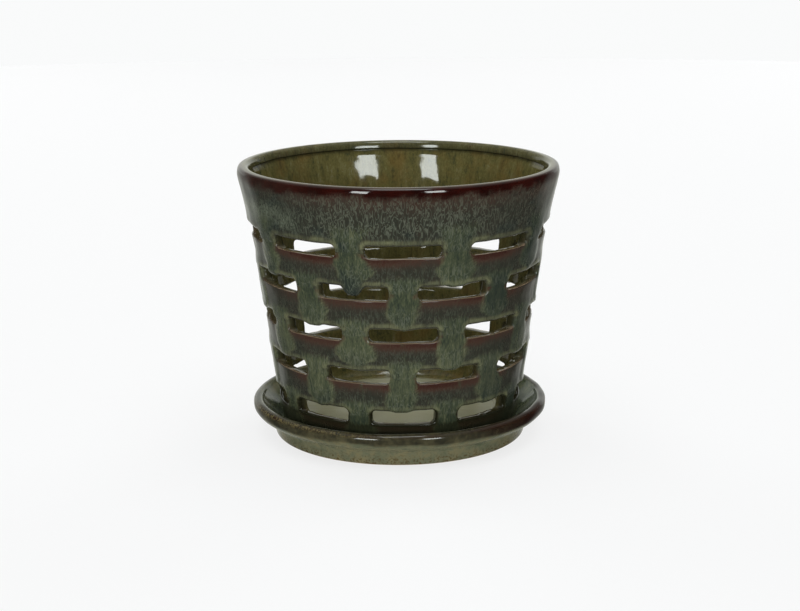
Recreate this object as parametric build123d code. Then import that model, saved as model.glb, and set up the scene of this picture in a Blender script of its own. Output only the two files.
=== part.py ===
from build123d import *
from math import hypot, radians, tan
import os

# Orchid pot with slots, standing loose in its own saucer. Both pieces are turned stoneware, so each is
# a profile spun about the upright axis. The slots are cut through the pot's wall afterwards.
# Millimetres, +Z up, front at -Y. The origin is on the table, under the middle of the saucer.

# Saucer, upwards from the table
SAUCER_FOOT_RECESS = 1.2  # how far the foot ring holds the floor off the table
SAUCER_FLOOR = 3.8
SAUCER_FOOT_RING = 7.0  # width of the ring that stands on the table
SAUCER_FOOT_EDGE = 1.2  # rounding of the ring's edges
SAUCER_BASE_WALL = 3.0  # from the floor's edge out to the foot
SAUCER_FOOT_HEIGHT = 6.0  # upright stretch, below the flare
SAUCER_FOOT_LEAN = 10.0  # degrees that the upright stretch leans out
SAUCER_NECK_ROUND = 3.0
SAUCER_FLARE = 9.6  # how far the lip's inner edge stands out from the floor's edge
SAUCER_LIP_THICK = 3.9
SAUCER_LIP_HEIGHT = 6.8
SAUCER_LIP_TUCK = 2.0  # how far the lip's underside goes in below its upright face
SAUCER_LIP_TURN = 2.4  # height of that underside
SAUCER_LIP_ROUND = 1.8
SAUCER_LIP_INNER_ROUND = 0.9
SAUCER_LIP_BEAD = 0.5  # how far the lip stands proud of the slope inside it
SAUCER_LIP_INSIDE = 2.4  # height of the lip's inner face
SAUCER_HEIGHT = 17.2
SAUCER_PLAY = 0.8  # gap all round between the pot's foot and the saucer's floor edge

# Pot, upwards from its foot
POT_FOOT_RADIUS = 55.5  # where the outside of the wall meets the foot's plane
POT_HEIGHT = 123.2
POT_WALL = 4.7  # measured level
POT_FLOOR = 4.5
POT_FOOT_RECESS = 1.5  # how far the foot ring holds the floor off the saucer
POT_FOOT_RING = 6.0  # width of the ring that stands in the saucer
POT_FOOT_EDGE = 2.0  # rounding of the wall's lower edge
POT_RING_EDGE = 0.6  # rounding inside the foot ring
POT_FLOOR_ROUND = 5.0  # rounding where the wall rises from the floor
DRAIN_RADIUS = 8.0
DRAIN_EDGE = 0.7
LOWER_LEAN = 7.93  # degrees that the lower wall leans out
COLLAR_LEAN = 12.3  # degrees that the collar leans out
COLLAR_BLEND = 40.0  # radius where the lower wall turns into the collar
RIM_BAND = 3.0  # height of the upright band round the rim
RIM_BAND_BLEND = 4.0  # radius where the collar turns into that band
RIM_ROUND = 1.4  # rounding of the rim's outer edge
RIM_INNER_ROUND = 1.4
RIM_BEAD = 0.9  # how far the rim stands proud of the wall inside it
RIM_DEPTH = 2.9  # height of the rim's inner face

# Slots, in rows that are each turned half a pitch from the next
ROWS = 5
SLOTS_PER_ROW = 9
BAR_SPAN = 11.0  # degrees of wall left between two slots of a row
SLOT_HEIGHT = 8.0
SLOT_CORNER = 2.4
SLOT_OUTER_EDGE = 1.1  # softening where a slot meets the outside of the wall
SLOT_INNER_EDGE = 0.8
FIRST_ROW = 17.0  # middle of the lowest row, above the pot's foot
TOP_ROW_DROP = 28.2  # middle of the highest row, below the top of the rim
COLLAR_DROP = 3.5  # start of the collar, below the sills of the highest row
SLOT_CUT_MARGIN = 10.0  # how far a cut reaches past the wall

# Heights above the table and radii that follow from the sizes
saucer_floor_z = SAUCER_FOOT_RECESS + SAUCER_FLOOR
pot_foot_z = saucer_floor_z
pot_top_z = pot_foot_z + POT_HEIGHT
first_row_z = pot_foot_z + FIRST_ROW
top_row_z = pot_top_z - TOP_ROW_DROP
row_pitch = (top_row_z - first_row_z) / (ROWS - 1)
slot_pitch = 360 / SLOTS_PER_ROW
collar_z = top_row_z - SLOT_HEIGHT / 2 - COLLAR_DROP
collar_radius = POT_FOOT_RADIUS + (collar_z - pot_foot_z) * tan(radians(LOWER_LEAN))


def pot_radius(z):
    """Outside radius of the pot's wall at a height above the table, below the rim's band."""
    lean = LOWER_LEAN if z < collar_z else COLLAR_LEAN
    return collar_radius + (z - collar_z) * tan(radians(lean))


def turned(corners):
    """Spin a closed profile about the upright axis. A corner is (radius, height, rounding)."""
    points = [(radius, height) for radius, height, _ in corners]
    roundings = [rounding for _, _, rounding in corners]
    outline = FilletPolyline(*points, radius=roundings, close=True)
    return revolve(Plane.XZ * make_face(outline), Axis.Z)


def make_saucer():
    """A shallow dish on a foot ring, with a flared side and a rounded lip."""
    floor_radius = POT_FOOT_RADIUS + SAUCER_PLAY
    foot_radius = floor_radius + SAUCER_BASE_WALL
    neck_radius = foot_radius + SAUCER_FOOT_HEIGHT * tan(radians(SAUCER_FOOT_LEAN))
    lip_inner = floor_radius + SAUCER_FLARE
    lip_outer = lip_inner + SAUCER_LIP_THICK
    lip_bottom_z = SAUCER_HEIGHT - SAUCER_LIP_HEIGHT
    crease_z = SAUCER_HEIGHT - SAUCER_LIP_INSIDE
    return turned(
        [
            (0, SAUCER_FOOT_RECESS, 0),
            (foot_radius - SAUCER_FOOT_RING, SAUCER_FOOT_RECESS, SAUCER_FOOT_RECESS / 3),
            (foot_radius - SAUCER_FOOT_RING, 0, SAUCER_FOOT_RECESS / 3),
            (foot_radius, 0, SAUCER_FOOT_EDGE),
            (neck_radius, SAUCER_FOOT_HEIGHT, SAUCER_NECK_ROUND),
            (lip_outer - SAUCER_LIP_TUCK, lip_bottom_z, SAUCER_LIP_TUCK),
            (lip_outer, lip_bottom_z + SAUCER_LIP_TURN, SAUCER_LIP_TURN),
            (lip_outer, SAUCER_HEIGHT, SAUCER_LIP_ROUND),
            (lip_inner, SAUCER_HEIGHT, SAUCER_LIP_INNER_ROUND),
            (lip_inner, crease_z, SAUCER_LIP_BEAD / 3),
            (lip_inner + SAUCER_LIP_BEAD, crease_z, 0),
            (floor_radius, saucer_floor_z, SAUCER_NECK_ROUND),
            (0, saucer_floor_z, 0),
        ]
    )


def make_pot_body():
    """The pot before its slots are cut: floor, foot ring, wall, collar and rim in one profile."""
    floor_under_z = pot_foot_z + POT_FOOT_RECESS
    floor_top_z = floor_under_z + POT_FLOOR
    ring_inner = POT_FOOT_RADIUS - POT_FOOT_EDGE - POT_FOOT_RING
    band_z = pot_top_z - RIM_BAND
    crease_z = pot_top_z - RIM_DEPTH
    crease_radius = pot_radius(crease_z) - POT_WALL
    return turned(
        [
            (ring_inner, pot_foot_z, POT_RING_EDGE),
            (POT_FOOT_RADIUS, pot_foot_z, POT_FOOT_EDGE),
            (collar_radius, collar_z, COLLAR_BLEND),
            (pot_radius(band_z), band_z, RIM_BAND_BLEND),
            (pot_radius(band_z), pot_top_z, RIM_ROUND),
            (crease_radius - RIM_BEAD, pot_top_z, RIM_INNER_ROUND),
            (crease_radius - RIM_BEAD, crease_z, RIM_BEAD / 3),
            (crease_radius, crease_z, 0),
            (collar_radius - POT_WALL, collar_z, COLLAR_BLEND),
            (pot_radius(floor_top_z) - POT_WALL, floor_top_z, POT_FLOOR_ROUND),
            (DRAIN_RADIUS, floor_top_z, DRAIN_EDGE),
            (DRAIN_RADIUS, floor_under_z, 0),
            (ring_inner, floor_under_z, POT_RING_EDGE),
        ]
    )


def make_slot_cutter():
    """One slot at the front, with level top and sill, radial ends and rounded corners."""
    inner = pot_radius(first_row_z) - POT_WALL - SLOT_CUT_MARGIN
    outer = pot_radius(top_row_z) + SLOT_CUT_MARGIN
    span = slot_pitch - BAR_SPAN
    section = Pos((inner + outer) / 2, 0) * Rectangle(outer - inner, SLOT_HEIGHT)
    block = revolve(Plane.XZ * section, Axis.Z, span)
    long_edges = block.edges().filter_by(GeomType.LINE).filter_by(Axis.Z, reverse=True)
    return Rot(Z=-90 - span / 2) * fillet(long_edges, SLOT_CORNER)


def slot_places():
    """Place of every slot, row by row from the lowest."""
    for row in range(ROWS):
        for slot in range(SLOTS_PER_ROW):
            turn = (slot + row % 2 / 2) * slot_pitch
            yield Pos(Z=first_row_z + row * row_pitch) * Rot(Z=turn)


def slot_edges(pot, inset):
    """Edges where the slots meet the wall's surface that lies inset behind its outside."""
    reach = SLOT_HEIGHT / 2 + SLOT_CORNER / 2
    rows = [first_row_z + row * row_pitch for row in range(ROWS)]
    found = ShapeList()
    for edge in pot.edges():
        middle = edge.position_at(0.5)
        on_row = any(abs(middle.Z - z) < reach for z in rows)
        off_wall = hypot(middle.X, middle.Y) - (pot_radius(middle.Z) - inset)
        if on_row and abs(off_wall) < SLOT_INNER_EDGE / 4:
            found.append(edge)
    return found


def make_slotted_pot():
    """The pot with its slots cut and their edges softened, as glaze leaves them."""
    cutter = make_slot_cutter()
    pot = make_pot_body() - [place * cutter for place in slot_places()]
    pot = fillet(slot_edges(pot, 0), SLOT_OUTER_EDGE)
    return fillet(slot_edges(pot, POT_WALL), SLOT_INNER_EDGE)


os.makedirs("parts", exist_ok=True)
export_step(make_saucer(), "parts/saucer.step")
export_step(make_slotted_pot(), "parts/slotted_pot.step")
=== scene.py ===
"""Looks of a slotted orchid pot in its drip saucer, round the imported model. Metres, +Z up, front at -Y."""
from math import asin, ceil, cos, pi, radians, sin, tan

import bpy
import numpy as np
from mathutils import Matrix, Vector


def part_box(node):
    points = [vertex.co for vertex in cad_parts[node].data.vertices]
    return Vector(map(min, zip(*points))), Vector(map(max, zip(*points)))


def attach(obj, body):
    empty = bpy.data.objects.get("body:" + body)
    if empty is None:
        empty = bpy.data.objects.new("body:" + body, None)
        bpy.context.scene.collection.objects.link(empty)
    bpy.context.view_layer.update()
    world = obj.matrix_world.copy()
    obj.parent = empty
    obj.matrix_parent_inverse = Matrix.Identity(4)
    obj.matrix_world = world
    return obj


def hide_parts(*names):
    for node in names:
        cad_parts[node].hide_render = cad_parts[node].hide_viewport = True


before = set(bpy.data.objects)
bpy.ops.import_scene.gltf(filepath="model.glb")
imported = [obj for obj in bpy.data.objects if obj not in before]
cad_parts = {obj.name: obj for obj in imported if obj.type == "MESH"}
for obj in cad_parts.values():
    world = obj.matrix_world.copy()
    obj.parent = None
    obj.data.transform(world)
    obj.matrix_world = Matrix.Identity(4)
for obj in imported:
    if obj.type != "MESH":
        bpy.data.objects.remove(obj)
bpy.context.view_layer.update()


# Saucer
# A loose drip saucer, thrown in stoneware on a foot ring, with a flared side and a rounded lip.
# It is dipped in the pot's glaze, which breaks brown on the lip and thins to grey olive below it.
# The ring that stands on the table is wiped bare.

MM = 0.001
saucer_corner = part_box("saucer")[1] / MM
SAUCER_COLUMNS = 288
SAUCER_STEP = 1.6  # longest stretch between two rings, in mm as all sizes of the pieces
SAUCER_RIPPLE = 0.10  # unevenness of the glaze's surface
SAUCER_RIPPLE_LENGTH = 19.0
SAUCER_FLOOR_RADIUS = 56.3
SAUCER_FLOOR_HEIGHT = 5.0
SAUCER_FOOT_RADIUS = 59.3
SAUCER_FOOT_RING = 7.0
SAUCER_FOOT_RECESS = 1.2
SAUCER_NECK_RADIUS = 60.8
SAUCER_NECK_HEIGHT = 6.8
SAUCER_LIP_HEIGHT = 6.8
SAUCER_LIP_THICK = 3.9
SAUCER_LIP_TUCK = 2.0  # how far the lip's underside goes in below its outer face
SAUCER_LIP_TURN = 2.4  # height of that underside
SAUCER_CREASE = 1.9  # height of the lip's inner face, where glaze fills the crease below it
SAUCER_LIP_LEAN = 0.9  # how far that face leans in at its foot
SAUCER_RING_ROUND = 0.4  # roundings, from the foot ring's inner edges up to the crease and the floor
SAUCER_FOOT_ROUND = 1.2
SAUCER_NECK_ROUND = 3.0
SAUCER_TUCK_ROUND = 2.0
SAUCER_TURN_ROUND = 4.0
SAUCER_LIP_ROUND = 2.6
SAUCER_LIP_INNER_ROUND = 1.6
SAUCER_CREASE_ROUND = 2.0
SAUCER_FLOOR_ROUND = 3.0
ARC_STEP = radians(15)  # most that a rounding turns between two points
lip_outer = saucer_corner.x
lip_inner = lip_outer - SAUCER_LIP_THICK
lip_top = saucer_corner.z
lip_bottom = lip_top - SAUCER_LIP_HEIGHT
saucer_ring_inner = SAUCER_FOOT_RADIUS - SAUCER_FOOT_RING


def rounded_profile(corners, step):
    """Points along a profile, no further apart than step. A corner is (radius, height, rounding)."""
    points = []
    for index, (radius, height, rounding) in enumerate(corners):
        here = np.array([radius, height])
        if not rounding:
            points.append(here)
            continue
        before = np.array(corners[index - 1][:2]) - here
        after = np.array(corners[index + 1][:2]) - here
        before /= np.linalg.norm(before)
        after /= np.linalg.norm(after)
        half_angle = np.arccos(np.dot(before, after)) / 2
        centre = here + (before + after) / np.linalg.norm(before + after) * rounding / sin(half_angle)
        start = here + before * rounding / tan(half_angle) - centre
        end = here + after * rounding / tan(half_angle) - centre
        turn = pi - 2 * half_angle
        count = max(2, ceil(turn / ARC_STEP))
        for way in np.linspace(0, 1, count + 1):
            spoke = (sin((1 - way) * turn) * start + sin(way * turn) * end) / sin(turn)
            points.append(centre + spoke)
    divided = [points[0]]
    for a, b in zip(points, points[1:]):
        count = max(1, ceil(np.linalg.norm(b - a) / step))
        divided += [a + (b - a) * k / count for k in range(1, count + 1)]
    return np.array(divided)


def spin(profile, columns):
    """Points and faces turned about the upright axis. They look out where the profile climbs."""
    turns = np.arange(columns) * 2 * pi / columns
    points, rings = [], []
    for radius, height in profile:
        around = turns if radius else turns[:1]
        rings.append(len(points) + np.arange(columns + 1) % len(around))
        points += [(radius * sin(turn), -radius * cos(turn), height) for turn in around]
    faces = []
    for low, high in zip(rings, rings[1:]):
        for k in range(columns):
            faces.append(list(dict.fromkeys((low[k], low[k + 1], high[k + 1], high[k]))))
    return np.array(points), faces


def ripple(points, length, seed):
    """A smooth random wave of about that length, near 1 at its crests."""
    draw = np.random.default_rng(seed)
    total = np.zeros(len(points))
    for _ in range(10):
        way = draw.normal(size=3)
        way *= 2 * pi / length * draw.uniform(0.6, 1.5) / np.linalg.norm(way)
        total += np.sin(points @ way + draw.uniform(0, 2 * pi))
    return total / 10 ** 0.5


def smooth(value, low, high):
    """0 at low, 1 at high, with an eased ramp between. Low may be the larger of the two."""
    share = np.clip((value - low) / (high - low), 0, 1)
    return share * share * (3 - 2 * share)


def make_mesh(name, points, faces):
    """A smooth-shaded mesh from points in mm."""
    mesh = bpy.data.meshes.new(name)
    mesh.from_pydata((points * MM).tolist(), [], faces)
    mesh.shade_smooth()
    mesh.update()
    return mesh


def read_mesh(mesh):
    """Every point of a mesh in mm, and its normal."""
    points = np.empty(len(mesh.vertices) * 3, np.float32)
    normals = np.empty_like(points)
    mesh.vertices.foreach_get("co", points)
    mesh.vertex_normals.foreach_get("vector", normals)
    return points.reshape(-1, 3).astype(float) / MM, normals.reshape(-1, 3).astype(float)


def write_mesh(mesh, points, shares):
    """Moves every point of a mesh, given in mm, and keeps the shares that its material reads."""
    mesh.vertices.foreach_set("co", (points * MM).astype(np.float32).ravel())
    mesh.update()
    for name, values in shares.items():
        layer = mesh.attributes.new(name, "FLOAT", "POINT")
        layer.data.foreach_set("value", np.clip(values, 0, 1).astype(np.float32))


def linear(hex_colour):
    """An sRGB hex colour as linear RGBA."""
    shares = [int(hex_colour[i : i + 2], 16) / 255 for i in (1, 3, 5)]
    return [s / 12.92 if s <= 0.04045 else ((s + 0.055) / 1.055) ** 2.4 for s in shares] + [1]


def add_node(tree, kind, inputs=(), stops=(), **settings):
    """Adds a node. An input is a value, a socket, or a node that feeds it from its first live output.
    Stops are the places and colours of a ramp."""
    node = tree.nodes.new(kind)
    for name, value in settings.items():
        setattr(node, name, value)
    for name, value in dict(inputs).items():
        if isinstance(value, bpy.types.Node):
            value = next(socket for socket in value.outputs if socket.enabled)
        if isinstance(value, bpy.types.NodeSocket):
            tree.links.new(value, node.inputs[name])
        else:
            node.inputs[name].default_value = value
    for index, (place, colour) in enumerate(stops):
        elements = node.color_ramp.elements
        stop = elements[index] if index < len(elements) else elements.new(1)
        stop.position = place
        stop.color = linear(colour)
    return node


saucer_profile = rounded_profile(
    [
        (0, SAUCER_FOOT_RECESS, 0),
        (saucer_ring_inner, SAUCER_FOOT_RECESS, SAUCER_RING_ROUND),
        (saucer_ring_inner, 0, SAUCER_RING_ROUND),
        (SAUCER_FOOT_RADIUS, 0, SAUCER_FOOT_ROUND),
        (SAUCER_NECK_RADIUS, SAUCER_NECK_HEIGHT, SAUCER_NECK_ROUND),
        (lip_outer - SAUCER_LIP_TUCK, lip_bottom, SAUCER_TUCK_ROUND),
        (lip_outer, lip_bottom + SAUCER_LIP_TURN, SAUCER_TURN_ROUND),
        (lip_outer, lip_top, SAUCER_LIP_ROUND),
        (lip_inner, lip_top, SAUCER_LIP_INNER_ROUND),
        (lip_inner - SAUCER_LIP_LEAN, lip_top - SAUCER_CREASE, SAUCER_CREASE_ROUND),
        (SAUCER_FLOOR_RADIUS, SAUCER_FLOOR_HEIGHT, SAUCER_FLOOR_ROUND),
        (0, SAUCER_FLOOR_HEIGHT, 0),
    ],
    SAUCER_STEP,
)
saucer_mesh = make_mesh("saucer_dish", *spin(saucer_profile, SAUCER_COLUMNS))


def lay_saucer_glaze(mesh):
    """Waves the dipped glaze a little, and keeps where its colours lie."""
    points, normals = read_mesh(mesh)
    sideways, back, height = points.T
    radius = np.hypot(sideways, back)
    uneven = ripple(points, 14, 9)

    # The floor and the foot ring stay flat, because the pot stands on one and the other on the table
    free = smooth(radius, SAUCER_FLOOR_RADIUS, SAUCER_FLOOR_RADIUS + 2) * smooth(height, 0.5, 3)
    wave = SAUCER_RIPPLE * ripple(points, SAUCER_RIPPLE_LENGTH, 5) * free

    # The lip breaks brown, redder at the right and crawled at the left front; a painted reflection pales the
    # inside at the left
    outside = smooth(radius, lip_inner - 0.5, lip_inner + 1.5)
    lip = smooth(height + 0.4 * uneven, lip_bottom + 1.0, lip_bottom + 2.8) * outside
    edge = smooth(height, lip_top - 2.2, lip_top - 0.8) * smooth(radius, lip_inner + 1.6, lip_outer - 0.8)
    right = smooth(sideways + 6 * uneven, 24, 62)
    left_front = smooth(sideways + 6 * uneven, 0, -30) * smooth(back, 10, -30)
    # Painted reflection: the upper inside at the left keeps the paler ground colour
    left_reflection = smooth(height, lip_top - 7, lip_top - 3) * smooth(sideways, -20, -50)
    shares = {
        "lip": lip,
        "edge": edge * (0.45 + 0.25 * uneven),
        "oxblood": right * lip,
        "crawl": left_front * edge,
        "foot": smooth(height, 6, 0.5) * (radius > saucer_ring_inner),
        # The darker inside colour leaves out the painted reflection at the left
        "inside": (1 - outside) * smooth(normals[:, 2], 0.1, 0.4) * (1 - left_reflection),
        "bare": smooth(height, 0.5, 0.2) * smooth(radius, saucer_ring_inner - 1, saucer_ring_inner),
    }
    write_mesh(mesh, points + normals * wave[:, None], shares)


BARE_CLAY = "#a58b6b"
BARE_CLAY_ROUGH = 0.85
SAUCER_GLAZE_ROUGH = 0.10


def make_saucer_glaze():
    """Reactive stoneware glaze, dipped and fired glossy. It gives the eye sharp reflections over a mottled
    grey olive, with rusty specks of iron, and a dark brown lip."""
    material = bpy.data.materials.new("reactive_stoneware_glaze_saucer")
    material.use_nodes = True
    tree = material.node_tree
    tree.nodes.clear()
    place = add_node(tree, "ShaderNodeTexCoord").outputs["Object"]
    grain = {}
    # Each pattern's size in mm, and its detail
    for name, size, detail in (("cloud", 9.0, 4), ("mottle", 2.4, 3), ("speck", 0.9, 2)):
        pattern = {"Vector": place, "Scale": 1 / (size * MM), "Detail": detail}
        grain[name] = add_node(tree, "ShaderNodeTexNoise", pattern)
    share = {}
    for name in ("lip", "edge", "oxblood", "crawl", "foot", "inside", "bare"):
        share[name] = add_node(tree, "ShaderNodeAttribute", attribute_name=name).outputs["Fac"]
    tone = add_node(tree, "ShaderNodeMix", {0: 0.4, 2: grain["cloud"], 3: grain["mottle"]})
    ground = add_node(
        tree, "ShaderNodeValToRGB", {0: tone}, [(0.36, "#535744"), (0.5, "#64644e"), (0.64, "#716a4e")]
    )
    inside = add_node(
        tree, "ShaderNodeValToRGB", {0: tone}, [(0.36, "#414b38"), (0.5, "#4d543d"), (0.64, "#65684e")]
    )
    lip = add_node(
        tree, "ShaderNodeValToRGB", {0: tone}, [(0.38, "#26251d"), (0.5, "#343124"), (0.62, "#464230")]
    )
    iron = add_node(tree, "ShaderNodeMapRange", {0: grain["speck"], 1: 0.6, 2: 0.7, 4: 0.35})
    rusty = add_node(tree, "ShaderNodeMapRange", {0: grain["speck"], 1: 0.5, 2: 0.62})
    rusty = add_node(tree, "ShaderNodeMath", {0: rusty, 1: share["foot"]}, operation="MULTIPLY")
    crawled = add_node(tree, "ShaderNodeMapRange", {0: grain["speck"], 1: 0.48, 2: 0.58})
    crawled = add_node(tree, "ShaderNodeMath", {0: crawled, 1: share["crawl"]}, operation="MULTIPLY")
    colour = ground
    for cover, coat in (
        (share["inside"], inside),
        (share["lip"], lip),
        (iron, linear("#3a2a14")),
        (rusty, linear("#4a3a20")),
        (share["oxblood"], linear("#1d0a06")),
        (share["edge"], linear("#2a1409")),
        (crawled, linear("#5f5538")),
        (share["bare"], linear(BARE_CLAY)),
    ):
        colour = add_node(tree, "ShaderNodeMix", {0: cover, 6: colour, 7: coat}, data_type="RGBA")
    finish = {0: share["bare"], 3: SAUCER_GLAZE_ROUGH, 4: BARE_CLAY_ROUGH}
    rough = add_node(tree, "ShaderNodeMapRange", finish)
    bump = add_node(tree, "ShaderNodeBump", {"Height": tone, "Strength": 0.2, "Distance": 0.1 * MM})
    shader = add_node(
        tree, "ShaderNodeBsdfPrincipled", {"Base Color": colour, "Roughness": rough, "Normal": bump}
    )
    add_node(tree, "ShaderNodeOutputMaterial", {"Surface": shader})
    return material


lay_saucer_glaze(saucer_mesh)
saucer_mesh.materials.append(make_saucer_glaze())
saucer = bpy.data.objects.new("saucer_dish", saucer_mesh)
bpy.context.scene.collection.objects.link(saucer)
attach(saucer, "saucer")
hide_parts("saucer")


# Pot
# A tapered pot turned in the same stoneware, with a flared collar and a rolled rim, loose in its saucer.
# Five rows of slots are cut through the leather-hard wall, each row turned half a pitch from the next.
# The glaze runs down the bars between the slots in fat lobes and hangs from the slots' upper edges.

pot_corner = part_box("slotted_pot")[1] / MM
ROWS = 5
SLOTS_PER_ROW = 9
FIRST_ROW = 22.0  # height of the lowest row's middle
ROW_PITCH = 19.5  # from a row's middle up to the next one's
POT_FOOT = 5.0  # height of the foot ring's plane
POT_FOOT_RADIUS = 55.5
POT_WALL = 4.7  # measured level
LOWER_SLOPE = tan(radians(7.93))  # how far the wall leans out as it rises
COLLAR_SLOPE = tan(radians(12.3))
COLLAR_HEIGHT = 92.5  # where the collar starts
COLLAR_BLEND = 5.0  # half the height over which the lower wall turns into the collar
SLOT_SPAN = radians(29.0)  # how much of its row a slot takes up
SLOT_HEIGHT = 7.4  # clear height between the coats of glaze
SLOT_CORNER = 2.0
OUTER_ROUND = 1.1  # how the glaze rounds a slot's outer edge, at its ends
OUTER_ROUND_SPREAD = 0.7  # so much more along its top, and less along its sill
INNER_ROUND = 0.9
TILE_COLUMNS = 32
TILE_RINGS = 12
TILE_SHARES = np.linspace(0, 1, 6)[:-1] ** 0.8  # loops on the outside, as shares of the way in to the slot
TILE_SHARES_INSIDE = (0.35, 0.7, 1)  # and on the inside, of the way back to the tile's edge
OUTER_ANGLES = np.radians([0, 22, 45, 68, 90])  # loops round a slot's outer edge
INNER_ANGLES = np.radians([90, 60, 30, 0])  # and round its inner edge
WELD = 0.03  # points of neighbouring tiles that are closer than this become one
slot_pitch = 2 * pi / SLOTS_PER_ROW
wall_bottom = FIRST_ROW - ROW_PITCH / 2
wall_top = FIRST_ROW + ROW_PITCH * (ROWS - 0.5)
tile_radius = POT_FOOT_RADIUS + LOWER_SLOPE * (FIRST_ROW + ROW_PITCH * (ROWS - 1) / 2 - POT_FOOT)
collar_radius = POT_FOOT_RADIUS + LOWER_SLOPE * (COLLAR_HEIGHT - POT_FOOT)


def wall_radius(height):
    """Outside radius of the pot's wall: two cones with a soft turn between them."""
    over = height - COLLAR_HEIGHT
    eased = (over + np.hypot(over, COLLAR_BLEND)) / 2
    return collar_radius + LOWER_SLOPE * over + (COLLAR_SLOPE - LOWER_SLOPE) * eased


def slot_border():
    """Points round a slot's clear opening, from its lower left corner, and the way out at each."""
    sides = []
    for half, count in ((SLOT_SPAN * tile_radius / 2, TILE_COLUMNS), (SLOT_HEIGHT / 2, TILE_RINGS)):
        straight = 2 * (half - SLOT_CORNER)
        arc = SLOT_CORNER * pi / 4
        way = (straight + 2 * arc) * np.arange(count) / count - arc
        lean = (np.maximum(way - straight, 0) + np.minimum(way, 0)) / SLOT_CORNER
        along = np.clip(way, 0, straight) - straight / 2 + SLOT_CORNER * np.sin(lean)
        sides.append((along, half, lean))
    (across, half_width, tilt), (upward, half_height, turn) = sides
    below = half_height - SLOT_CORNER * (1 - np.cos(tilt))
    beside = half_width - SLOT_CORNER * (1 - np.cos(turn))
    sill, end = np.stack([across, -below], axis=1), np.stack([beside, upward], axis=1)
    sill_out = np.stack([np.sin(tilt), -np.cos(tilt)], axis=1)
    end_out = np.stack([np.cos(turn), np.sin(turn)], axis=1)
    border = np.concatenate([sill, end, -sill, -end])
    return border, np.concatenate([sill_out, end_out, -sill_out, -end_out])


def tile_edge():
    """The loop round one slot's share of the wall, with as many points as a slot's loop."""
    half_width, half_height = slot_pitch * tile_radius / 2, ROW_PITCH / 2
    across = np.linspace(-half_width, half_width, TILE_COLUMNS + 1)[:-1]
    upward = np.linspace(-half_height, half_height, TILE_RINGS + 1)[:-1]
    sill = np.stack([across, np.full(TILE_COLUMNS, -half_height)], axis=1)
    end = np.stack([np.full(TILE_RINGS, half_width), upward], axis=1)
    return np.concatenate([sill, end, -sill, -end])


def make_slot_tile():
    """One slot with its share of the wall, laid flat: along the wall, into it, and up."""
    edge = tile_edge()
    border, way_out = slot_border()
    outer_round = (OUTER_ROUND + OUTER_ROUND_SPREAD * way_out[:, 1])[:, None]
    outer = border + way_out * outer_round
    inner = border + way_out * INNER_ROUND
    flat = np.zeros((len(edge), 1))
    loops = []
    for share in TILE_SHARES:
        loops.append((edge + (outer - edge) * share, flat))
    for angle in OUTER_ANGLES:
        loops.append((border + way_out * outer_round * (1 - sin(angle)), outer_round * (1 - cos(angle))))
    for angle in INNER_ANGLES:
        depth = POT_WALL - INNER_ROUND * (1 - cos(angle))
        loops.append((border + way_out * INNER_ROUND * (1 - sin(angle)), flat + depth))
    for share in TILE_SHARES_INSIDE:
        loops.append((inner + (edge - inner) * share, flat + POT_WALL))
    points = np.concatenate([np.hstack([loop[:, :1], depth, loop[:, 1:]]) for loop, depth in loops])
    here = np.arange(len(edge))
    beside = (here + 1) % len(edge)
    faces = []
    for k in range(len(loops) - 1):
        first, second = k * len(edge), (k + 1) * len(edge)
        faces += np.stack([first + here, first + beside, second + beside, second + here], axis=1).tolist()
    return make_mesh("slot_tile", points, faces)


RIM_BAND = 3.5  # height of the rolled band round the rim
RIM_LEAN = 0.6  # how far the band leans in at its top
RIM_DEPTH = 3.85  # height of its inner face
RIM_FALL = 0.5  # how far its top slopes down to the outside
RIM_GLAZE = 0.35  # glaze on its top edge, before the edge is rounded off
RIM_SWELL = 0.15  # glaze on its lower edge, before that is rounded off
RIM_BEAD = 1.3  # how far it stands in past the wall inside it
RIM_GROOVE = 0.35  # how far the wall is undercut below that bead
RIM_GROOVE_STEP = 0.5  # how far below the bead the undercut is deepest
RIM_GROOVE_DROP = 3.0  # and how far below it runs out
RIM_BAND_ROUND = 6.0  # roundings, from the band's lower edge over the top to the end of the undercut
RIM_OUTER_ROUND = 1.6
RIM_INNER_ROUND = 2.4
RIM_BEAD_ROUND = 0.5
RIM_GROOVE_ROUND = 0.4
RIM_GROOVE_END_ROUND = 4.0
FOOT_RING = 6.0
FOOT_RECESS = 1.5
FOOT_EDGE = 2.0  # rounding of the wall's lower edge
RING_ROUND = 0.6
POT_FLOOR = 4.5
FLOOR_ROUND = 5.0  # where the wall rises from the floor
COVE_RINGS = 6  # rings in that rounding, below the slotted wall
COVE_END = radians(86)  # how far round it they go, short of the flat floor
DRAIN_RADIUS = 8.0
DRAIN_ROUND = 1.2
POT_COLUMNS = SLOTS_PER_ROW * TILE_COLUMNS
RIM_STEP = 1.8  # longest stretch between two rings above the slotted wall
FLOOR_STEP = 3.2  # and below it
rim_top = pot_corner.z + RIM_GLAZE
rim_radius = pot_corner.x
floor_under = POT_FOOT + FOOT_RECESS
floor_top = floor_under + POT_FLOOR
floor_radius = wall_radius(floor_top) - POT_WALL - FLOOR_ROUND
ring_inner = POT_FOOT_RADIUS - FOOT_EDGE - FOOT_RING
crease_height = rim_top - RIM_DEPTH
crease_radius = wall_radius(crease_height) - POT_WALL
groove_height = crease_height - RIM_GROOVE_DROP


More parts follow.
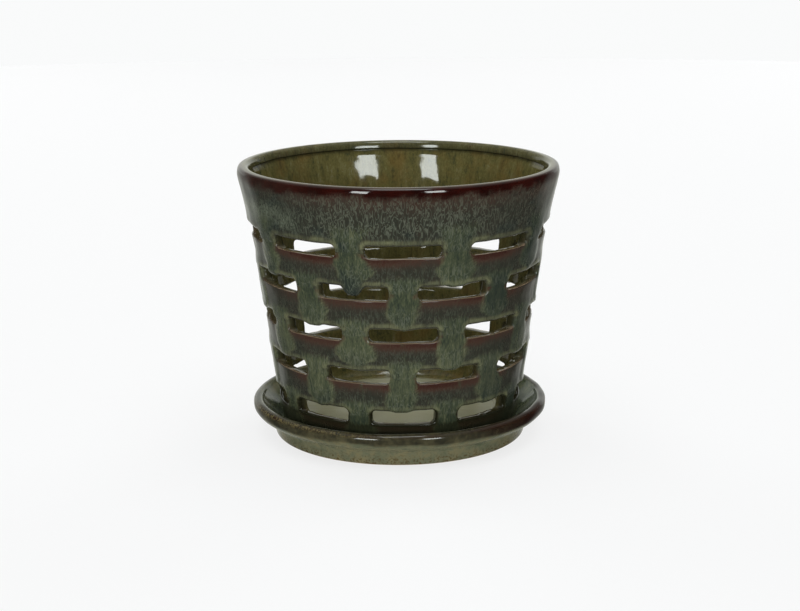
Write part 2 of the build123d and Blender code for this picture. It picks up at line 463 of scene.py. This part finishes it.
def make_turned_ends():
    """The rim and collar above the slotted wall, and the floor and foot below it, as turned strips."""
    rim = rounded_profile(
        [
            (wall_radius(wall_top), wall_top, 0),
            (rim_radius + RIM_SWELL, rim_top - RIM_BAND, RIM_BAND_ROUND),
            (rim_radius - RIM_LEAN, rim_top - RIM_FALL, RIM_OUTER_ROUND),
            (crease_radius - RIM_BEAD + COLLAR_SLOPE * RIM_DEPTH, rim_top, RIM_INNER_ROUND),
            (crease_radius - RIM_BEAD, crease_height, RIM_BEAD_ROUND),
            (crease_radius + RIM_GROOVE, crease_height - RIM_GROOVE_STEP, RIM_GROOVE_ROUND),
            (wall_radius(groove_height) - POT_WALL, groove_height, RIM_GROOVE_END_ROUND),
            (wall_radius(wall_top) - POT_WALL, wall_top, 0),
        ],
        RIM_STEP,
    )
    steepest = asin((floor_top + FLOOR_ROUND - wall_bottom) / FLOOR_ROUND)
    cove = floor_top + FLOOR_ROUND * (1 - np.sin(np.linspace(steepest, COVE_END, COVE_RINGS)))
    foot = rounded_profile(
        [
            (floor_radius, floor_top, 0),
            (DRAIN_RADIUS, floor_top, DRAIN_ROUND),
            (DRAIN_RADIUS, floor_under, RING_ROUND),
            (ring_inner, floor_under, RING_ROUND),
            (ring_inner, POT_FOOT, RING_ROUND),
            (POT_FOOT_RADIUS, POT_FOOT, FOOT_EDGE),
            (wall_radius(wall_bottom), wall_bottom, 0),
        ],
        FLOOR_STEP,
    )
    foot = np.concatenate([np.stack([wall_radius(cove) - POT_WALL, cove], axis=1), foot])
    rim_points, rim_faces = spin(rim, POT_COLUMNS)
    foot_points, foot_faces = spin(foot, POT_COLUMNS)
    faces = rim_faces + [[corner + len(rim_points) for corner in face] for face in foot_faces]
    return make_mesh("pot_turned_ends", np.concatenate([rim_points, foot_points]), faces)


def make_slotted_wall_tree():
    """Geometry Nodes that lay a slot's tile in staggered rows, wrap them round and add the turned ends."""
    tree = bpy.data.node_groups.new("Slotted wall", "GeometryNodeTree")
    for kind, names in (
        ("NodeSocketGeometry", ("Turned ends",)),
        ("NodeSocketObject", ("Slot tile",)),
        ("NodeSocketMaterial", ("Glaze",)),
        ("NodeSocketInt", ("Rows", "Slots per row")),
        ("NodeSocketFloat", ("First row height", "Row pitch", "Tile width", "Tile radius", "Lower slope")),
        ("NodeSocketFloat", ("Collar height", "Collar radius", "Collar blend", "Collar flare", "Seam")),
    ):
        for name in names:
            tree.interface.new_socket(name=name, in_out="INPUT", socket_type=kind)
    tree.interface.new_socket(name="Pot", in_out="OUTPUT", socket_type="NodeSocketGeometry")
    given = add_node(tree, "NodeGroupInput").outputs

    index = add_node(tree, "GeometryNodeInputIndex")
    row = add_node(tree, "ShaderNodeMath", {0: index, 1: given["Slots per row"]}, operation="DIVIDE")
    row = add_node(tree, "ShaderNodeMath", {0: row}, operation="FLOOR")
    odd = add_node(tree, "ShaderNodeMath", {0: row, 1: 2}, operation="MODULO")
    column = add_node(tree, "ShaderNodeMath", {0: index, 1: given["Slots per row"]}, operation="MODULO")
    column = add_node(tree, "ShaderNodeMath", {0: odd, 1: 0.5, 2: column}, operation="MULTIPLY_ADD")
    along = add_node(tree, "ShaderNodeMath", {0: column, 1: given["Tile width"]}, operation="MULTIPLY")
    stacked = {0: row, 1: given["Row pitch"], 2: given["First row height"]}
    upward = add_node(tree, "ShaderNodeMath", stacked, operation="MULTIPLY_ADD")
    spot = add_node(tree, "ShaderNodeCombineXYZ", {"X": along, "Z": upward})
    rows_by_slots = {0: given["Rows"], 1: given["Slots per row"]}
    count = add_node(tree, "ShaderNodeMath", rows_by_slots, operation="MULTIPLY")
    places = add_node(tree, "GeometryNodePoints", {"Count": count, "Position": spot})
    tile = add_node(tree, "GeometryNodeObjectInfo", {"Object": given["Slot tile"]}).outputs["Geometry"]
    laid = add_node(tree, "GeometryNodeInstanceOnPoints", {"Points": places, "Instance": tile})
    sheet = add_node(tree, "GeometryNodeRealizeInstances", {0: laid})

    position = add_node(tree, "GeometryNodeInputPosition")
    flat = add_node(tree, "ShaderNodeSeparateXYZ", {0: position}).outputs
    from_collar = {0: flat["Z"], 1: given["Collar height"]}
    over = add_node(tree, "ShaderNodeMath", from_collar, operation="SUBTRACT")
    lower = {0: over, 1: given["Lower slope"], 2: given["Collar radius"]}
    outside = add_node(tree, "ShaderNodeMath", lower, operation="MULTIPLY_ADD")
    turned = add_node(tree, "ShaderNodeCombineXYZ", {"X": over, "Y": given["Collar blend"]})
    turned = add_node(tree, "ShaderNodeVectorMath", {0: turned}, operation="LENGTH")
    eased = add_node(tree, "ShaderNodeMath", {0: over, 1: turned}, operation="ADD")
    eased = add_node(tree, "ShaderNodeMath", {0: eased, 1: 0.5}, operation="MULTIPLY")
    flare = {0: eased, 1: given["Collar flare"], 2: outside}
    outside = add_node(tree, "ShaderNodeMath", flare, operation="MULTIPLY_ADD")
    forward = add_node(tree, "ShaderNodeMath", {0: flat["Y"], 1: outside}, operation="SUBTRACT")
    front = add_node(tree, "ShaderNodeCombineXYZ", {"Y": forward, "Z": flat["Z"]})
    turn = add_node(tree, "ShaderNodeMath", {0: flat["X"], 1: given["Tile radius"]}, operation="DIVIDE")
    bend = {"Vector": front, "Angle": turn}
    wrapped = add_node(tree, "ShaderNodeVectorRotate", bend, rotation_type="Z_AXIS")
    wall = add_node(tree, "GeometryNodeSetPosition", {"Geometry": sheet, "Position": wrapped})

    joined = add_node(tree, "GeometryNodeJoinGeometry", {0: given["Turned ends"]})
    tree.links.new(wall.outputs[0], joined.inputs[0])
    merged = add_node(tree, "GeometryNodeMergeByDistance", {"Geometry": joined, "Distance": given["Seam"]})
    smoothed = add_node(tree, "GeometryNodeSetShadeSmooth", {0: merged})
    solid = add_node(tree, "GeometryNodeRealizeInstances", {0: smoothed})
    glazed = add_node(tree, "GeometryNodeSetMaterial", {"Geometry": solid, "Material": given["Glaze"]})
    add_node(tree, "NodeGroupOutput", {0: glazed})
    return tree


POT_GLAZE_ROUGH = 0.07
FLOOR_MATT = 0.3  # how far the glaze on the floor goes towards bare clay


def make_pot_glaze():
    """Reactive stoneware glaze, poured thick and fired glossy. It gives the eye sharp reflections over
    green runs and a thin grey brown ground, with pale strands and oxblood on broken edges; its tan on
    the sills and the rim's top is a painted highlight, and its dark in the crease, slots and inside is
    painted shade."""
    material = bpy.data.materials.new("reactive_stoneware_glaze_pot")
    material.use_nodes = True
    tree = material.node_tree
    tree.nodes.clear()
    place = add_node(tree, "ShaderNodeTexCoord").outputs["Object"]
    grain = {}
    # Each pattern's width and upright length in mm, its detail, and how far it is twisted. The finest hair
    # of a real glaze is thinner than 0.6 mm, and is drawn so coarse because it wouldn't show otherwise.
    for name, width, length, detail, twist in (
        ("hair", 0.6, 3.6, 1, 1.0),
        ("strand", 1.4, 4.5, 1, 0.8),
        ("fleck", 0.8, 1.5, 2, 0.8),
        ("streak", 2.8, 24.0, 3, 0.3),
        ("cloud", 12.0, 14.0, 4, 0.0),
    ):
        scale = (1 / (width * MM), 1 / (width * MM), 1 / (length * MM))
        laid = add_node(tree, "ShaderNodeMapping", {"Vector": place, "Scale": scale})
        pattern = {"Vector": laid, "Scale": 1, "Detail": detail, "Roughness": 0.6, "Distortion": twist}
        grain[name] = add_node(tree, "ShaderNodeTexNoise", pattern)
    share = {}
    outer_coats = ("ground", "run", "pool_and_shade", "strands", "bead", "break", "sill")
    for name in outer_coats + ("inside", "dark", "floor", "bare"):
        share[name] = add_node(tree, "ShaderNodeAttribute", attribute_name=name).outputs["Fac"]

    clouded = {0: grain["cloud"], 1: 0.25, 2: share["ground"]}
    earth = add_node(tree, "ShaderNodeMath", clouded, operation="MULTIPLY_ADD")
    flecked = {0: grain["fleck"], 1: 0.35, 2: earth}
    earth = add_node(tree, "ShaderNodeMath", flecked, operation="MULTIPLY_ADD")
    ground = add_node(
        tree,
        "ShaderNodeValToRGB",
        {0: earth},
        [(0.32, "#38201a"), (0.48, "#402e26"), (0.66, "#352f28"), (0.86, "#2b2d26"), (1.0, "#5e6455")],
    )
    fur = add_node(tree, "ShaderNodeMix", {0: 0.45, 2: grain["hair"], 3: grain["streak"]})
    run = add_node(
        tree,
        "ShaderNodeValToRGB",
        {0: fur},
        [(0.34, "#293029"), (0.46, "#353b2e"), (0.56, "#424735"), (0.68, "#5b5d47")],
    )
    frayed = {0: grain["hair"], 1: 0.9, 2: share["run"]}
    ragged = add_node(tree, "ShaderNodeMath", frayed, operation="MULTIPLY_ADD")
    ragged = add_node(tree, "ShaderNodeMapRange", {0: ragged, 1: 0.55, 2: 1.15})
    contour = [(0.43, "#000000"), (0.5, "#ffffff"), (0.57, "#000000")]
    line = add_node(tree, "ShaderNodeValToRGB", {0: grain["strand"]}, contour)
    strands = add_node(tree, "ShaderNodeMath", {0: line, 1: share["strands"]}, operation="MULTIPLY")
    bead = add_node(tree, "ShaderNodeMapRange", {0: fur, 1: 0.28, 2: 0.56})
    bead = add_node(tree, "ShaderNodeMath", {0: bead, 1: share["bead"]}, operation="MULTIPLY")
    reds = [(0.35, "#170302"), (0.65, "#2b0905")]
    oxblood = add_node(tree, "ShaderNodeValToRGB", {0: grain["cloud"]}, reds)
    mottled = add_node(tree, "ShaderNodeMix", {0: 0.55, 2: grain["fleck"], 3: grain["streak"]})
    inside = add_node(
        tree,
        "ShaderNodeValToRGB",
        {0: mottled},
        [(0.34, "#353926"), (0.46, "#534d2c"), (0.58, "#605935"), (0.7, "#6b6a4e")],
    )
    rust = add_node(tree, "ShaderNodeMapRange", {0: grain["cloud"], 1: 0.5, 2: 0.68, 4: 0.35})
    inside = add_node(tree, "ShaderNodeMix", {0: rust, 6: inside, 7: linear("#6a4c24")}, data_type="RGBA")
    colour = ground
    for cover, coat in (
        (ragged, run),
        # Dark pools of glaze, and painted shade on the runs at the right
        (share["pool_and_shade"], linear("#232a27")),
        (strands, linear("#5c6053")),
        (bead, linear("#6c6d51")),
        (share["break"], oxblood),
        # Painted highlight on the sills and the rim's top
        (share["sill"], linear("#826d59")),
        (share["inside"], inside),
        # Painted shade in the crease, the slots and inside the wall
        (share["dark"], linear("#201f13")),
        (share["floor"], linear("#87836b")),
        (share["bare"], linear(BARE_CLAY)),
    ):
        colour = add_node(tree, "ShaderNodeMix", {0: cover, 6: colour, 7: coat}, data_type="RGBA")
    dulled = {0: share["floor"], 1: FLOOR_MATT, 2: share["bare"]}
    matt = add_node(tree, "ShaderNodeMath", dulled, operation="MULTIPLY_ADD")
    finish = {0: matt, 3: POT_GLAZE_ROUGH, 4: BARE_CLAY_ROUGH}
    rough = add_node(tree, "ShaderNodeMapRange", finish)
    bump = add_node(tree, "ShaderNodeBump", {"Height": fur, "Strength": 0.15, "Distance": 0.05 * MM})
    shader = add_node(
        tree, "ShaderNodeBsdfPrincipled", {"Base Color": colour, "Roughness": rough, "Normal": bump}
    )
    add_node(tree, "ShaderNodeOutputMaterial", {"Surface": shader})
    return material


pot = bpy.data.objects.new("slotted_pot_glazed", make_turned_ends())
bpy.context.scene.collection.objects.link(pot)
slot_tile = bpy.data.objects.new("slot_tile", make_slot_tile())
slots = pot.modifiers.new("Slots", "NODES")
slots.node_group = make_slotted_wall_tree()
wall_inputs = {
    "Slot tile": slot_tile,
    "Glaze": make_pot_glaze(),
    "Rows": ROWS,
    "Slots per row": SLOTS_PER_ROW,
    "First row height": FIRST_ROW * MM,
    "Row pitch": ROW_PITCH * MM,
    "Tile width": slot_pitch * tile_radius * MM,
    "Tile radius": tile_radius * MM,
    "Collar height": COLLAR_HEIGHT * MM,
    "Collar radius": collar_radius * MM,
    "Collar blend": COLLAR_BLEND * MM,
    "Lower slope": LOWER_SLOPE,
    "Collar flare": COLLAR_SLOPE - LOWER_SLOPE,
    "Seam": WELD * MM,
}
for socket in slots.node_group.interface.items_tree:
    if socket.name in wall_inputs:
        slots[socket.identifier] = wall_inputs[socket.name]
settled = bpy.context.evaluated_depsgraph_get()
pot_mesh = bpy.data.meshes.new_from_object(pot.evaluated_get(settled), depsgraph=settled)
pot_mesh.name = "slotted_pot_glazed"
pot.modifiers.remove(slots)
pot.data = pot_mesh
bpy.data.objects.remove(slot_tile)

GLAZE_SEED = 12
RUN_WAIST = 6.0  # half the width of a run where it comes down a bar
RUN_BULGE = (6.8, 10.2)  # least and most of that below the sills, where it spreads
RUN_START = 9.0  # how far above the slots' middle a run starts
TOP_RUN_START = 14.0  # and in the highest row, under the collar
RUN_SHOULDER = 4.0  # how far above the slots' middle it has narrowed to its waist
RUN_WIDEST = 9.0  # how far below the slots' middle it has spread
RUN_TIP = (13.5, 18.0)  # how far below the slots' middle it ends
RUN_LEAN = 0.1  # most that it leans to a side, as a slope
RUN_THICK = 0.5
BEAD_THICK = 0.45
COAT_WAVES = ((0.10, 17.0, 3), (0.04, 6.0, 4))  # the coat's unevenness: how much, how long, and its seed
DRIP_HANG = (0.1, 0.7)  # how far a run hangs into the slot under it
DRIP_REACH = (3.0, 5.5)  # half the width of that
LONG_DRIP = (ROWS - 1, SLOTS_PER_ROW - 1)  # row and place of the one run that hangs as a long drip
LONG_DRIP_HANG = 4.4
LONG_DRIP_REACH = 4.4
EDGE_SAG = 0.45  # how far the glaze hangs from every slot's upper edge
TOP_EDGE_SAG = 1.3  # and from the highest row's, under the collar
BACK_SILL_DROP = 1.6  # how much lower the sills of the lower rows are cut at the back
COLLAR_SWELL = 0.5  # how far the collar's inner face swells in, half way up
COLLAR_SWELL_HEIGHT = 115.0
COLLAR_SWELL_REACH = 10.0


def run_glaze(turn, height, outside, uneven):
    """Where the runs lie, their pale outlines and dark tips, and how far they hang into the slots."""
    draw = np.random.default_rng(GLAZE_SEED)
    run, outline, tips, hang = np.zeros((4, len(turn)))
    for row in range(ROWS):
        top_row = row == ROWS - 1
        start = TOP_RUN_START if top_row else RUN_START
        for bar in range(SLOTS_PER_ROW):
            bar_turn = (bar + 0.5 + row % 2 / 2) * slot_pitch
            below = FIRST_ROW + row * ROW_PITCH - height
            lean = draw.uniform(-RUN_LEAN, RUN_LEAN)
            across = ((turn - bar_turn + pi) % (2 * pi) - pi) * outside - lean * below
            tip = draw.uniform(*RUN_TIP)
            bulge = np.where(across < 0, draw.uniform(*RUN_BULGE), draw.uniform(*RUN_BULGE))
            width = RUN_WAIST + (bulge - RUN_WAIST) * smooth(below, 1, RUN_WIDEST)
            taper = np.maximum(below - RUN_WIDEST, 0) / (tip - RUN_WIDEST)
            width *= np.sqrt(np.clip(1 - taper ** 2, 0, 1))
            width += np.clip(-RUN_SHOULDER - below, 0, 6) * (0.8 if top_row else 1.3)
            within = width - np.abs(across) + uneven
            run = np.maximum(run, smooth(within, -0.8, 2.6) * smooth(below, -start, -RUN_SHOULDER))
            edge = np.exp(-(((within - 0.8) / 0.8) ** 2)) * smooth(below, tip + 1, tip - 2)
            outline = np.maximum(outline, edge * smooth(below, -4, 5) * draw.uniform(0.4, 1.0))
            dark = smooth(within, 0.5, 3.5) * smooth(below, tip - 7, tip - 2)
            tips = np.maximum(tips, dark * draw.uniform(0.1, 0.9))
            drip, reach = draw.uniform(*DRIP_HANG), draw.uniform(*DRIP_REACH)
            if (row, bar) == LONG_DRIP:
                drip, reach = LONG_DRIP_HANG, LONG_DRIP_REACH
                wet = np.exp(-((across / (reach + 1)) ** 4)) * smooth(below, 8, 14) * (below < ROW_PITCH)
                tips = np.maximum(tips, wet)
            near_slot = smooth(below, ROW_PITCH - 9, ROW_PITCH - 4.5) * (below < ROW_PITCH)
            hang = np.maximum(hang, drip * np.exp(-((across / reach) ** 4)) * near_slot)
    return run, outline, tips, hang


def nearest_slot(turn, height, outside):
    """Row of the slot nearest to each point, the way up from its middle, and the gap from its border."""
    row = np.clip(np.round((height - FIRST_ROW) / ROW_PITCH), 0, ROWS - 1)
    stagger = row % 2 / 2
    slot_turn = (np.round(turn / slot_pitch - stagger) + stagger) * slot_pitch
    upward = height - FIRST_ROW - row * ROW_PITCH
    over_x = np.abs(turn - slot_turn) * outside - SLOT_SPAN / 2 * outside + SLOT_CORNER
    over_z = np.abs(upward) - SLOT_HEIGHT / 2 + SLOT_CORNER
    within = np.minimum(np.maximum(over_x, over_z), 0)
    gap = np.hypot(np.maximum(over_x, 0), np.maximum(over_z, 0)) + within - SLOT_CORNER
    return row, upward, gap


def lay_pot_glaze(mesh):
    """Runs the glaze over the pot: lobes down the bars, beads over the slots, breaks on the rim."""
    points, normals = read_mesh(mesh)
    height = points[:, 2]
    turn = np.arctan2(points[:, 0], -points[:, 1])  # round from the front, and more to the right
    aside = np.abs(turn)
    outside = wall_radius(height)
    radius = np.hypot(points[:, 0], points[:, 1])
    depth = outside - radius
    row, upward, gap = nearest_slot(turn, height, outside)
    under_sill = -SLOT_HEIGHT / 2 - upward
    slotted = height < wall_top
    top_row = row == ROWS - 1

    # The inside of the wall is rounded into the floor, and swells a little inside the collar
    inner_wall = np.abs(depth - POT_WALL) < 0.5
    inner_wall &= (height > floor_top + 0.001) & (height < crease_height - 0.4)
    drop = np.clip(floor_top + FLOOR_ROUND - height, 0, FLOOR_ROUND)
    inset = FLOOR_ROUND - np.sqrt(FLOOR_ROUND ** 2 - drop ** 2)
    off_swell = (height - COLLAR_SWELL_HEIGHT) / COLLAR_SWELL_REACH
    inset += COLLAR_SWELL * np.clip(1 - off_swell ** 2, 0, 1)
    points[:, :2] *= (1 - inner_wall * inset / radius)[:, None]

    # Stretches of the pot on which the glaze differs
    outer_face = smooth(depth, 3.4, 1.2)
    inner_face = smooth(depth, 2.6, 4.2)
    facing_down = smooth(normals[:, 2], -0.3, -0.75)
    facing_up = smooth(normals[:, 2], 0.6, 0.9)
    collar = smooth(height, wall_top - 6, wall_top)
    under_rim = smooth(height, wall_top + 3, rim_top - RIM_BAND)
    rim_inside = smooth(depth, 1.2, 2.6) * smooth(height, crease_height - 0.3, crease_height + 0.3)
    left = smooth(turn, -0.4, -1.0) * smooth(turn, -2.4, -1.9)
    before_back = smooth(turn, 1.8, 1.3)
    flank = smooth(aside, 0.6, 1.0) * smooth(aside, 2.2, 1.8)
    uneven = 0.7 * ripple(points, 8.0, 6) + 0.4 * ripple(points, 4.0, 7)
    run, outline, tips, hang = run_glaze(turn, height, outside, uneven)

    # Thin glaze on the ground, redder just under the sills and towards the rim
    redness = 0.08 + 0.08 * ripple(points, 40.0, 11) + 0.3 * smooth(aside, 0.7, 1.1)
    ground = np.where(upward > 0, 0.5, redness + (0.5 - redness) * smooth(under_sill, 0.4, 6.3))
    ground += collar * (0.5 - 0.25 * under_rim + 0.14 * left - ground)
    ground += rim_inside * (0.55 - ground)

    # Pale glaze: beads over the slots and at their ends, the outlines of the runs, and the lower runs
    bead = smooth(gap + 0.4 * uneven, 2.6, 0.9) * smooth(upward, 1, 3.5) * slotted
    bead *= 1 - 0.5 * top_row * smooth(aside, 0.5, 0.9)
    side_bead = 0.5 * smooth(gap, 1.6, 0.5) * smooth(upward, -3.4, -1.5)
    # Painted shade: less pale glaze towards the right
    pale = np.maximum(side_bead, 0.6 * outline) * (1 - 0.7 * smooth(turn, 0.4, 0.8) * before_back)
    pale = np.maximum(bead, pale) * (1 - tips) * (1 - facing_down)
    pale = np.maximum(pale, 0.2 * run * smooth(height, 80, 50) * smooth(height, 24, 36))

    # Dark pools at the runs' tips and over the highest slots, dark patches at the sides under the rim, and
    # painted shade on the runs at the right
    pool_and_shade = smooth(gap, 1.6, 3.0) * smooth(gap, 7.5, 4.0) * top_row * (upward > 0)
    pool_and_shade *= smooth(ripple(points, 13, 10) + smooth(aside, 0.6, 0.9), 0.1, 1.0)
    smudge = smooth(aside, 0.45, 0.9) * smooth(np.abs(height - rim_top + 9), 6, 2)
    smudge *= 1 + 0.5 * (turn > 0)
    pool_and_shade = np.maximum(pool_and_shade, smudge * smooth(ripple(points * (1, 1, 2), 11.0, 12), 0.1, 1.1))
    # Painted shade: the runs darken towards the right side
    right_run_shade = run * smooth(turn, 0.3, 0.75) * before_back
    pool_and_shade = np.maximum.reduce([0.8 * tips, 0.6 * pool_and_shade, 0.65 * right_run_shade])

    # Pale strands, most of them on the runs and the collar, and fewer at the sides and under the sills
    strands = 0.3 + 0.35 * run * (1 - collar) + 0.5 * collar * (1 - 0.6 * under_rim)
    strands *= np.where(upward < 0, smooth(under_sill, 0.5, 6), 1)
    # Painted shade: fewer pale strands towards the right
    strands *= (1 - 0.2 * smooth(aside, 0.4, 0.9)) * (1 - 0.3 * smooth(turn, 0.2, 0.7))
    strands *= 1 - 0.5 * left * collar

    # Oxblood where the glaze breaks round the rim; tan on the sills and the rim's top is a painted highlight
    band = height + 0.9 * ripple(points, 5.0, 8)
    rim_break = smooth(band, rim_top - RIM_BAND - 2.6, rim_top - RIM_BAND + 0.4)
    rim_break *= smooth(depth - smooth(aside, 1.3, 0.7), 3.9, 3.1) * (1 - 0.2 * left)
    rim_edge = smooth(height, rim_top - 0.6, rim_top - 0.1)
    # Painted highlight: tan on the sills' upward faces, left off at the sides
    sill = facing_up * smooth(gap, 0.6, 0.2) * (upward < 0) * (depth > 0.1) * slotted * (row > 0)
    sill *= smooth(depth, 2.6, 1.4) * (1 - 0.8 * smooth(aside, 1.0, 1.3) * flank)

    # Painted shade: dark in the crease under the rim, in the slots, round the lowest slots and inside the
    # wall
    crease = 0.9 * np.exp(-(((height - crease_height + 0.3) / 0.7) ** 2)) * smooth(depth, 3, 4.5)
    cheek = smooth(gap, 0.6, 0.1) * smooth(depth, 0.6, 1.8) * slotted * (1 - 0.3 * facing_up) * (row > 0)
    lowest = (row == 0) & (upward < SLOT_HEIGHT / 2)
    shaded = lowest * np.maximum(0.75 * (under_sill > 0), smooth(gap, 1.6, 0.5)) * outer_face
    inner_shade = (0.2 + 0.4 * flank) * inner_face * smooth(height, wall_top - 6, wall_top - 12)
    inner_shade *= smooth(height, floor_top, floor_top + 12)
    shares = {
        "ground": ground,
        "run": run,
        # Dark pools of glaze, and painted shade on the runs at the right
        "pool_and_shade": pool_and_shade * outer_face,
        "strands": strands * np.maximum(outer_face, rim_inside),
        "bead": pale * outer_face,
        "break": rim_break,
        # Painted highlight on the sills and along the rim's top edge
        "sill": np.maximum(sill, 0.25 * rim_edge),
        "inside": inner_face * (1 - 0.4 * rim_inside),
        # Painted shade, from the crease, the slots' cheeks, the lowest slots and the inside wall
        "dark": np.maximum.reduce([crease, shaded, np.maximum(0.8, flank) * cheek, inner_shade]),
        "floor": smooth(depth, 6, 12) * smooth(height, floor_top - 1, floor_top - 0.2),
        "bare": smooth(height, POT_FOOT + 0.5, POT_FOOT + 0.2),
    }

    # The coat's thickness, its sag over the slots, and the lower sills at the back
    thick = (RUN_THICK * run * (1 - 0.7 * collar) + BEAD_THICK * bead) * outer_face
    for amount, length, seed in COAT_WAVES:
        thick += amount * ripple(points, length, seed)
    fades = smooth(height, POT_FOOT + 1, POT_FOOT + 6) * smooth(height, rim_top - 1, rim_top - 4)
    moved = points + normals * (thick * fades)[:, None]
    sag = hang + np.where(top_row, TOP_EDGE_SAG, EDGE_SAG)
    moved[:, 2] -= sag * smooth(gap, 5.5, 0.6) * smooth(depth, POT_WALL, 1.0) * (upward > 0)
    low_sill = smooth(aside, 1.7, 2.1) * (row < ROWS - 2) * (upward < 0)
    moved[:, 2] -= BACK_SILL_DROP * low_sill * smooth(gap, 4.0, 0.4)
    write_mesh(mesh, moved, shares)


lay_pot_glaze(pot_mesh)
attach(pot, "pot")
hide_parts("slotted_pot")


# Studio
# A lit table of opal acrylic, with a ring of white paper standing round it that only the camera sees.
# Softboxes and a white card show only as reflections in the glaze, which mirrors neither table nor paper.
# A wide diffuser overhead and three fills light the clay and show in no reflection.

TABLE_SIZE = 30.0  # in metres, as all sizes of the studio
TABLE_GLOW = 0.775
PAPER_RADIUS = 1.9
PAPER_HEIGHT = 2.0
PAPER_COLUMNS = 96
PAPER_GLOW = 0.962
STAGE_ROUGH = 0.9


def make_glowing(name, base, glow, strength):
    """A matt material that gives off light of its own."""
    material = bpy.data.materials.new(name)
    material.use_nodes = True
    shader = material.node_tree.nodes["Principled BSDF"].inputs
    shader["Base Color"].default_value = linear(base)
    shader["Roughness"].default_value = STAGE_ROUGH
    shader["Specular IOR Level"].default_value = 0
    shader["Emission Color"].default_value = linear(glow)
    shader["Emission Strength"].default_value = strength
    return material


# Opal acrylic, sanded matt and lit from below: an even white that takes a faint soft shadow
table_half = TABLE_SIZE / 2 / MM
table_corners = np.array([(-1, -1, 0), (1, -1, 0), (1, 1, 0), (-1, 1, 0)]) * table_half
floor = bpy.data.objects.new("floor", make_mesh("floor", table_corners, [(0, 1, 2, 3)]))
bpy.context.scene.collection.objects.link(floor)
floor.data.materials.append(make_glowing("opal_acrylic_light_table", "#69686a", "#ffffff", TABLE_GLOW))
floor.visible_glossy = False

# Backdrop paper, evenly lit: a plain white that goes on from the table's, so the picture has no horizon
paper_edges = np.array([(PAPER_RADIUS, 0), (PAPER_RADIUS, PAPER_HEIGHT)]) / MM
backdrop = bpy.data.objects.new("backdrop", make_mesh("backdrop", *spin(paper_edges, PAPER_COLUMNS)))
bpy.context.scene.collection.objects.link(backdrop)
backdrop.data.materials.append(make_glowing("white_backdrop_paper", "#000000", "#feffff", PAPER_GLOW))
backdrop.visible_diffuse = False
backdrop.visible_glossy = False
backdrop.visible_shadow = False

# The room: dark, with a pale far end and a pale ceiling that the glaze mirrors softly
ROOM_COLOUR = (0.98, 1, 0.92, 1)
ROOM_FAR_WAY = (0, 1, -0.15)
ROOM_FAR_SPREAD = {1: 0.56, 2: 0.98, 3: 0.04, 4: 0.54}  # from and to along that way, and how bright there
ROOM_TOP_WAY = (0, 0.15, 1)
ROOM_TOP_SPREAD = {1: 0.5, 2: 0.95, 3: 0, 4: 0.4}
room = bpy.data.worlds.new("studio")
room.use_nodes = True
room_tree = room.node_tree
room_tree.nodes.clear()
look = add_node(room_tree, "ShaderNodeTexCoord").outputs["Generated"]
glows = []
for way, spread in ((ROOM_FAR_WAY, ROOM_FAR_SPREAD), (ROOM_TOP_WAY, ROOM_TOP_SPREAD)):
    along = add_node(room_tree, "ShaderNodeVectorMath", {0: look, 1: way}, operation="DOT_PRODUCT")
    glows.append(add_node(room_tree, "ShaderNodeMapRange", {0: along.outputs["Value"], **spread}))
strength = add_node(room_tree, "ShaderNodeMath", {0: glows[0], 1: glows[1]}, operation="ADD")
walls = add_node(room_tree, "ShaderNodeBackground", {"Color": ROOM_COLOUR, "Strength": strength})
add_node(room_tree, "ShaderNodeOutputWorld", {"Surface": walls})
bpy.context.scene.world = room

# Lamps: bearing and elevation in degrees, width, height, watts, and whether only reflections show it
LAMP_DISTANCE = 2.6
LAMP_TARGET = Vector((0, 0, 0.1))
LAMP_COLOUR = (0.94, 1.0, 0.98)
for name, bearing, elevation, width, tall, power, mirrored in (
    ("softbox_right", 24, 17.5, 0.58, 0.76, 17, True),
    ("softbox_left", -28, 17.5, 0.52, 0.76, 15.5, True),
    ("softbox_top", 0, 85, 1.1, 1.1, 19, True),
    ("diffuser", 0, 85, 3.2, 3.2, 84, False),
    ("white_card", 180, 8, 4.4, 1.0, 3.2, True),
    ("fill", -8, 11, 0.5, 0.5, 38, False),
    ("fill_back_right", 140, 20, 1.2, 1.2, 28, False),
    ("fill_back_left", -140, 20, 1.2, 1.2, 28, False),
):
    light = bpy.data.lights.new(name, "AREA")
    light.shape = "RECTANGLE"
    light.size, light.size_y = width, tall
    light.energy = power
    light.color = LAMP_COLOUR
    lamp = bpy.data.objects.new(name, light)
    around, up = radians(bearing), radians(elevation)
    toward = Vector((sin(around) * cos(up), -cos(around) * cos(up), sin(up)))
    lamp.location = toward * LAMP_DISTANCE + LAMP_TARGET
    lamp.rotation_euler = (-toward).to_track_quat("-Z", "Y").to_euler()
    lamp.visible_glossy = mirrored
    lamp.visible_diffuse = not mirrored
    bpy.context.scene.collection.objects.link(lamp)

# The camera looks down a little, from just left of the front
CAMERA_DISTANCE = 0.781
CAMERA_HEIGHT = 0.2488
CAMERA_BEARING = radians(-1.7)
CAMERA_TRIM = radians(-0.03)  # how far it is turned off the pot's axis
CAMERA_PITCH = radians(13.62)
CAMERA_ROLL = radians(-0.35)
CAMERA_SENSOR = 36.0  # width, in mm as the lens
CAMERA_LENS = 76.24
camera_data = bpy.data.cameras.new("camera")
camera_data.sensor_width = CAMERA_SENSOR
camera_data.lens = CAMERA_LENS
camera = bpy.data.objects.new("camera", camera_data)
aim = Matrix.Rotation(CAMERA_BEARING + CAMERA_TRIM, 4, "Z")
aim @= Matrix.Rotation(pi / 2 - CAMERA_PITCH, 4, "X")
stand = Vector((sin(CAMERA_BEARING), -cos(CAMERA_BEARING), 0)) * CAMERA_DISTANCE
stand.z = CAMERA_HEIGHT
camera.matrix_world = Matrix.Translation(stand) @ aim @ Matrix.Rotation(CAMERA_ROLL, 4, "Z")
bpy.context.scene.collection.objects.link(camera)
bpy.context.scene.camera = camera
bpy.context.scene.view_settings.view_transform = "Standard"
